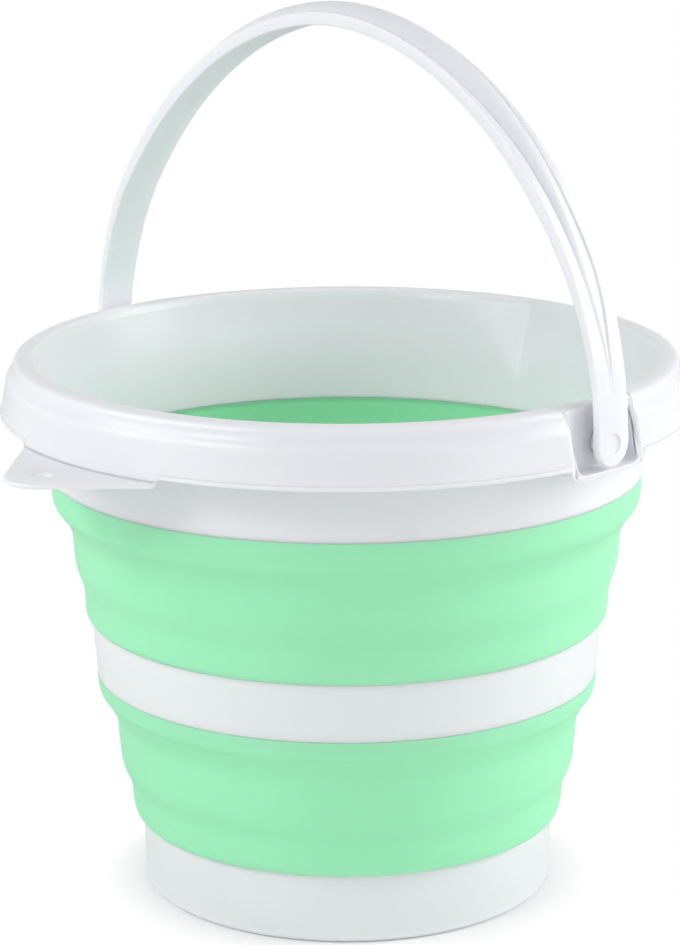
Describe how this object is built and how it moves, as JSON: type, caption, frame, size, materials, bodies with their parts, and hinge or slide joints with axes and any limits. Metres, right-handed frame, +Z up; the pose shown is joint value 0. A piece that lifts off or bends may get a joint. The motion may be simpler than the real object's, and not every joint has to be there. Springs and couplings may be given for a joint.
{
  "type": "collapsible bucket",
  "caption": "Round bucket of hard rings joined by soft bands that fold inside out, so that it nests flat, with a bail handle, a pouring spout and a hanging tab.",
  "frame": {"origin": "centre of the base's underside, on the floor", "axes": "+Z up along the bucket's axis. +X along the handle's pivots, towards one ear. +Y is square to both, near the pouring spout; the hanging tab is near -Y."},
  "size_m": [0.3306, 0.3651, 0.4262],
  "materials": {
    "white_plastic": "satin white polypropylene",
    "mint_rubber": "matt mint green thermoplastic rubber"
  },
  "bodies": {
    "base": {"base_cup": "white_plastic", "lower_band_heel": "mint_rubber"},
    "lower_wall": {"lower_band_wall": "mint_rubber"},
    "mid": {"middle_ring": "white_plastic", "lower_band_shoulder": "mint_rubber", "upper_band_heel": "mint_rubber"},
    "upper_wall": {"upper_band_wall": "mint_rubber"},
    "top": {"rim": "white_plastic", "upper_band_shoulder": "mint_rubber"},
    "bail": {"handle": "white_plastic"}
  },
  "joints": [
    {"name": "lower_fold", "type": "slide", "parent": "base", "child": "mid", "axis": [0, 0, -1], "range_m": [0, 0.088]},
    {"name": "lower_roll", "type": "slide", "parent": "base", "child": "lower_wall", "axis": [0, 0, -1], "range_m": [0, 0.033]},
    {"name": "upper_fold", "type": "slide", "parent": "mid", "child": "top", "axis": [0, 0, -1], "range_m": [0, 0.098]},
    {"name": "upper_roll", "type": "slide", "parent": "mid", "child": "upper_wall", "axis": [0, 0, -1], "range_m": [0, 0.04508]},
    {"name": "handle_swing", "type": "hinge", "parent": "top", "child": "bail", "pos_m": [0, 0, 0.2435], "axis": [1, 0, 0], "range_deg": [-55, 55]}
  ],
  "couplings": [
    {"joint": "lower_roll", "follows": "lower_fold", "ratio": 0.375},
    {"joint": "upper_roll", "follows": "upper_fold", "ratio": 0.46}
  ]
}
